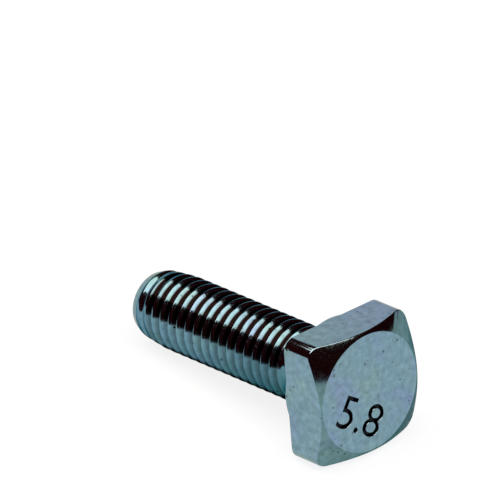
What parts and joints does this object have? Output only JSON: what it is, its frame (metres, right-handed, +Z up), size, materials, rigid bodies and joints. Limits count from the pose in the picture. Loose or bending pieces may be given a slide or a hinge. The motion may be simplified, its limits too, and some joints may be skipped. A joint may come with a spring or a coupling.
{
  "type": "square head bolt",
  "caption": "Short full-thread bolt with a chamfered square head and a raised round bearing face, lying as it comes to rest.",
  "frame": {"origin": "centre of the bearing face, on the bolt's axis", "axes": "+Z up, square to the floor that the bolt lies on; +X along the floor from the point to the head; the axis rises from the floor by 6.39 degrees towards the head; two flats of the head face +Y and -Y"},
  "size_m": [0.0326, 0.013, 0.0134],
  "materials": {
    "zinc_plated_steel": "bright zinc plating, smooth head faces and polished thread flanks"
  },
  "bodies": {
    "root": {"square_head_bolt": "zinc_plated_steel"}
  },
  "joints": []
}
